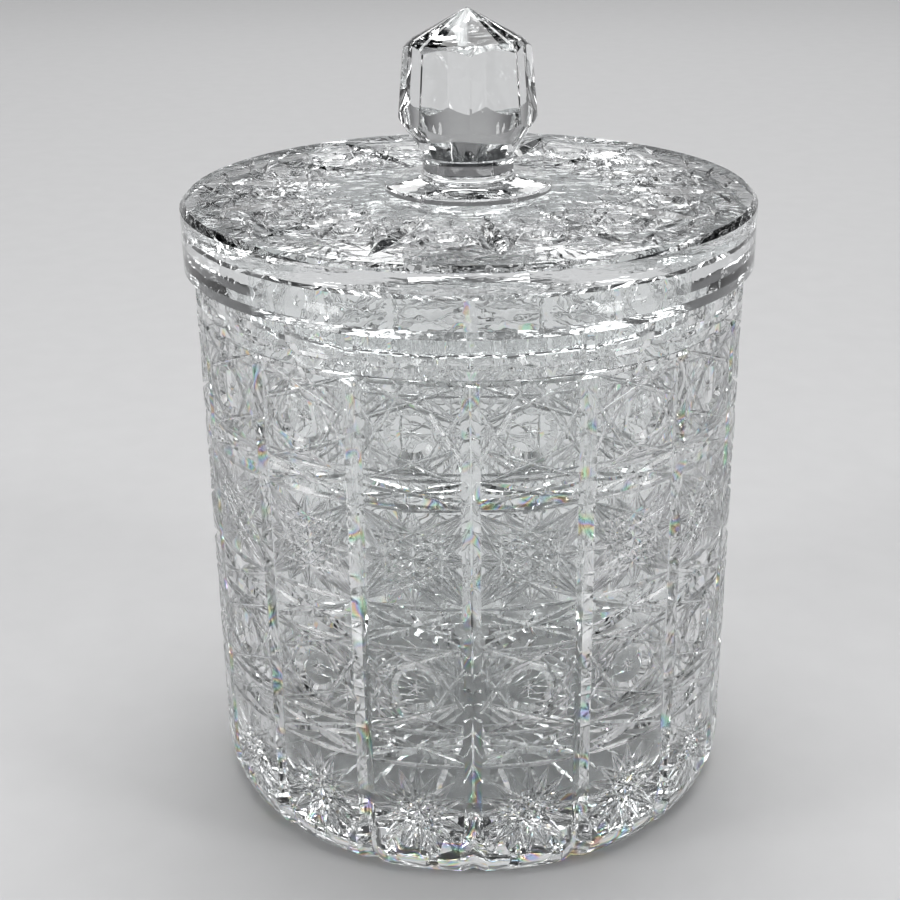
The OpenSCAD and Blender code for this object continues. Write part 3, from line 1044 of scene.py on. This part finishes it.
def lid_side(put, s):
    """The cuts of one half of a panel: corners, edge lines, fan and inner lines."""
    out = lid_corners(put, s, 1) + lid_corners(put, s, -1)
    for x1, r1, x2, r2 in EDGE_LINES:
        out.append(mitre(put, lid_point(s * x1, r1), lid_point(s * x2, r2), **EDGE_CROSS))
    for x in FAN:
        ends = lid_point(s * x * FAN_PINCH, FAN_ENDS[0]), lid_point(s * x, FAN_ENDS[1])
        out.append(mitre(put, *ends, **FAN_LINE))
    for x1, r1, x2, r2, wheel in INNER_LINES:
        out.append(mitre(put, lid_point(s * x1, r1), lid_point(s * x2, r2), **wheel))
    return out


def lid_panel(middle):
    """All the cuts of the panel whose middle is at this angle."""
    put = on_top(middle)
    out = []
    edge = [lid_point(x * SIDE, r) for x, r in LID_FIELD]
    edge = [(u, r - LID_BUTTON_R) for u, r in edge]
    for skip, touch, depth in LID_STARS:
        for line in joined(edge, skip):
            ends = shifted(beside(line, touch), LID_BUTTON_R)
            out.append(mitre(put, *ends, depth, **LID_STAR))
    out += lid_side(put, 1) + lid_side(put, -1)
    for near, far in MIDDLE_LINES:
        out.append(mitre(put, lid_point(0, near), lid_point(0, far), **FAN_LINE))
    out.append(button(put, 0, LID_BUTTON_R, *LID_BUTTON))
    return out + small_star(put, 0, LID_BUTTON_R, *LID_BUTTON_STAR)


print("the fan at the lid's edge has", 2 * len(FAN) + 1, "lines")

# %% Cut the lid
LID_MITRE = dict(depth=1.6, slope=1.55, steps=8, flat=0.06)
LID_MITRE_ENDS = (33, 74)      # inner and outer radius


def lid_cutters():
    """Two panels, and their neighbours too, because some cuts reach over the sides."""
    out = [c for k in (-1, 1, 3, 5) for c in lid_panel(START + k * LID_HALF)]
    for k in range(3):
        put = on_top(START + 2 * LID_HALF * k)
        out.append(mitre(put, (0, LID_MITRE_ENDS[0]), (0, LID_MITRE_ENDS[1]), **LID_MITRE))
    return out


lid_wedge = open_sides(cut(lid_blank, lid_cutters()), (START, START + LID_TURNED))
lid = repeat("lid_glass", lid_wedge, LID_GLASS, LID_PANELS // 2, math.radians(LID_TURN))

# %% [markdown]
# ## The knob
# The knob is a turned barrel with a pointed cap, ground flat on eight sides. Where a flat meets
# the cone of the cap or the flare of the neck it leaves an arch, which no one has to draw. The cap
# falls away more steeply near its edge, which deepens the arches, and the wheel has just broken
# the upright corners, so that each one draws a thin bright line.

# %% Knob blank
SPARE = 0.6     # glass that the blank has outside the flats' corners


def knob_profile():
    """The knob's outline from the joint round to the tip."""
    flare = (KNOB_WIDE_Z - COLLAR_H) / (KNOB_WIDE_R - STEM_R)
    low_z = KNOB_WIDE_Z + SPARE * flare
    cap = math.radians(CAP_ANGLE)
    edge_r = KNOB_SHOULDER_R - CAP_EDGE_W
    edge_z = KNOB_SHOULDER_Z + CAP_EDGE_W * math.tan(cap)
    top_z = edge_z - (CAP_EDGE_W + SPARE) * math.tan(math.radians(CAP_EDGE_ANGLE))
    point_z = KNOB_SHOULDER_Z + (KNOB_SHOULDER_R - TIP_R * math.sin(cap)) * math.tan(cap)
    ball_z = point_z - TIP_R * math.cos(cap)
    tip = arc(0, ball_z, TIP_R, 90 - CAP_ANGLE, 90)
    tip[-1] = (0.0, tip[-1][1])
    collar = [(0.0, 0.0), (STEM_R - JOINT_BEVEL, 0.0), (STEM_R, JOINT_BEVEL), (STEM_R, COLLAR_H)]
    barrel = [(KNOB_WIDE_R + SPARE, low_z), (KNOB_SHOULDER_R + SPARE, top_z), (edge_r, edge_z)]
    return [(r, z + (JOINT_Z + KNOB_GAP)) for r, z in collar + barrel + tip]


knob_blank = turned("knob_blank", knob_profile(), START, 2 * math.pi, KNOB_COLUMNS)
print("knob blank", len(knob_blank.data.vertices), "points")

# %% Grind the knob
BLOCK_ENDS = (-6.0, 52.0)      # foot and top of a grinding block, from the joint
BLOCK_HALF_W = 20
BLOCK_T = 30


def knob_flat(side, reach, taken=0.0):
    """A grinding block that leaves one flat: reach is its distance as a share of the corner's."""
    a = START + math.radians(KNOB_TURN) + side * 2 * math.pi / KNOB_SIDES
    low, top = KNOB_WIDE_R * reach - taken, KNOB_SHOULDER_R * reach - taken
    slope = (top - low) / (KNOB_SHOULDER_Z - KNOB_WIDE_Z)
    verts = []
    for z in BLOCK_ENDS:
        near = low + slope * (z - KNOB_WIDE_Z)
        back = near + BLOCK_T
        corners = ((near, -BLOCK_HALF_W), (near, BLOCK_HALF_W),
                   (back, BLOCK_HALF_W), (back, -BLOCK_HALF_W))
        for r, u in corners:
            x = r * math.cos(a) - u * math.sin(a)
            y = r * math.sin(a) + u * math.cos(a)
            verts.append((x, y, z + JOINT_Z))
    faces = [[0, 1, 2, 3], [4, 5, 6, 7], [0, 1, 5, 4], [1, 2, 6, 5], [2, 3, 7, 6], [3, 0, 4, 7]]
    return solid("cut", verts, faces)


flats = [knob_flat(k + 0.5, math.cos(math.pi / KNOB_SIDES)) for k in range(KNOB_SIDES)]
broken_corners = [knob_flat(k, 1.0, KNOB_CORNER) for k in range(KNOB_SIDES)]
knob_made = cut(knob_blank, flats + broken_corners)
knob = finish_piece("knob_glass", knob_made.data, KNOB_GLASS, KNOB_CUT_EDGE)
bpy.data.objects.remove(knob_made)

# %% [markdown]
# ## What moves with what
# The jar stays, and the lid lifts off with its knob. Each dressed piece takes the place of the
# plain solid of the same piece.

# %% Ride
for piece, node, body in ((jar, "jar", "jar"), (lid, "lid", "lid"), (knob, "knob", "lid")):
    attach(piece, body)
    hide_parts(node)
print("pieces ride on their bodies")

# %% [markdown]
# ## Table and backdrop
# Clear glass shows whatever is round it. A pale table that runs far past the picture, and a sky
# that is pale low down and darker overhead, give the cuts both light and dark to bend.

# %% Floor
FLOOR_HALF = 4.0               # metres
FLOOR_DROP = 0.0002            # keeps the table's skin off the glass that stands on it
TABLE_DARK = (0.53, 0.53, 0.535, 1)
TABLE_PALE = (0.57, 0.57, 0.575, 1)
TABLE_ROUGHNESS = 0.6
GRAIN_SCALE = 60.0


def floor():
    """A pale matt table with a faint grain."""
    mesh = bpy.data.meshes.new("floor")
    s = FLOOR_HALF
    mesh.from_pydata([(-s, -s, 0), (s, -s, 0), (s, s, 0), (-s, s, 0)], [], [[0, 1, 2, 3]])
    material, shader, start = material_start("pale_table")
    place = start.node("ShaderNodeTexCoord", output="Object")
    tone = mixed(start, noise(start, place, GRAIN_SCALE, 3.0), TABLE_DARK, TABLE_PALE)
    material.node_tree.links.new(tone.socket, shader.inputs["Base Color"])
    shader.inputs["Roughness"].default_value = TABLE_ROUGHNESS
    mesh.materials.append(material)
    made = bpy.data.objects.new("floor", mesh)
    bpy.context.scene.collection.objects.link(made)
    made.location.z = -FLOOR_DROP
    return made


floor()
print("the table is", 2 * FLOOR_HALF, "m across")

# %% Sky
SKY = ((0.03, (0.56, 0.56, 0.565, 1)), (0.18, (0.2, 0.2, 0.205, 1)),
       (0.42, (0.012, 0.013, 0.015, 1)))     # upward part of the direction, and the colour there
world = bpy.data.worlds.new("studio")
bpy.context.scene.world = world
world.use_nodes = True
sky = Sum(world.node_tree, None)
direction = sky.node("ShaderNodeTexCoord", output="Generated")
upward = sky.node("ShaderNodeSeparateXYZ", inputs={0: direction}, output="Z")
shade = sky.node("ShaderNodeValToRGB", {"stops": SKY}, {0: upward})
back = world.node_tree.nodes["Background"]
world.node_tree.links.new(shade.socket, back.inputs["Color"])
back.inputs["Strength"].default_value = 1.0
print("the sky has", len(SKY), "stops")

# %% [markdown]
# ## Light
# One wide soft light overhead falls the same all over the table. The soft boxes are there to be
# seen in the glass: a tall one at each side, a long one at the back, and four slim ones that draw
# bright lines in the mitres.

# %% Lamps
JAR_MIDDLE = (0, 0, 0.1)       # metres, where every soft box points
SLIM_BOXES = 4
SLIM_R = 1.1
SLIM_Z = 1.15
SLIM_SIZE = (0.9, 0.1)


def softbox(name, place, size, power):
    """A rectangular lamp that points at the jar, in metres and watts."""
    lamp = bpy.data.lights.new(name, "AREA")
    lamp.shape = "RECTANGLE"
    lamp.size = size[0]
    lamp.size_y = size[1]
    lamp.energy = power
    made = bpy.data.objects.new(name, lamp)
    made.location = place
    aim = Vector(JAR_MIDDLE) - Vector(place)
    made.rotation_euler = aim.to_track_quat("-Z", "Y").to_euler()
    bpy.context.scene.collection.objects.link(made)


def sun(name, tilt, turn, spread, strength):
    """A far soft light, the same all over the table: tilt from overhead, turn from the front."""
    lamp = bpy.data.lights.new(name, "SUN")
    lamp.angle = math.radians(spread)
    lamp.energy = strength
    made = bpy.data.objects.new(name, lamp)
    made.rotation_euler = (math.radians(tilt), 0, math.radians(turn))
    bpy.context.scene.collection.objects.link(made)


sun("top_light", tilt=14, turn=165, spread=54, strength=2.5)
softbox("left_box", (-1.0, -0.4, 0.6), (0.3, 0.9), 4.5)
softbox("right_box", (1.0, -0.5, 0.7), (0.25, 0.8), 4)
for k in range(SLIM_BOXES):
    a = math.radians(45 + 360 / SLIM_BOXES * k)
    softbox("slim_box", (SLIM_R * math.cos(a), SLIM_R * math.sin(a), SLIM_Z), SLIM_SIZE, 1.3)
softbox("back_box", (0, 1.7, 0.8), (1.4, 0.2), 2.4)
print("lit by a soft overhead light,", SLIM_BOXES + 3, "soft boxes and the sky")

# %% [markdown]
# ## Camera
# The camera looks down on the jar from a little less than half a metre away, near enough for the
# wall to taper towards the table.

# %% Camera and view
PICTURE = 900.0                # width and height of the picture in pixels
FOCAL = 1618.2                 # focal length in pixels
CENTRE_X = 466.86              # where the lens axis meets the picture, in pixels
CENTRE_Y = 449.39
SENSOR = 36.0                  # millimetres
CAMERA_PLACE = (0, -0.4462, 0.2813)
CAMERA_YAW = -0.143            # degrees
CAMERA_PITCH = 22.40
CAMERA_ROLL = -0.528
camera_data = bpy.data.cameras.new("camera")
camera = bpy.data.objects.new("camera", camera_data)
bpy.context.scene.collection.objects.link(camera)
camera_data.sensor_width = SENSOR
camera_data.lens = FOCAL * SENSOR / PICTURE
camera_data.shift_x = (PICTURE / 2 - CENTRE_X) / PICTURE
camera_data.shift_y = (CENTRE_Y - PICTURE / 2) / PICTURE
camera_data.clip_start = 0.01
yaw, pitch, roll = (math.radians(a) for a in (CAMERA_YAW, CAMERA_PITCH, CAMERA_ROLL))
level = math.cos(pitch)
forward = Vector((math.sin(yaw) * level, math.cos(yaw) * level, -math.sin(pitch)))
right = Vector((math.cos(yaw), -math.sin(yaw), 0))
up = right.cross(forward)
rolled_right = math.cos(roll) * right + math.sin(roll) * up
rolled_up = -math.sin(roll) * right + math.cos(roll) * up
turn = Matrix((rolled_right, rolled_up, -forward)).transposed().to_4x4()
camera.matrix_world = Matrix.Translation(CAMERA_PLACE) @ turn
print("camera at", tuple(round(c, 3) for c in camera.location), "metres")

# %% Scene
scene = bpy.context.scene
scene.camera = camera
scene.view_settings.view_transform = "Standard"
scene.cycles.max_bounces = 24
scene.cycles.transmission_bounces = 24
scene.cycles.glossy_bounces = 8
print("light may bounce", scene.cycles.max_bounces, "times in the glass")
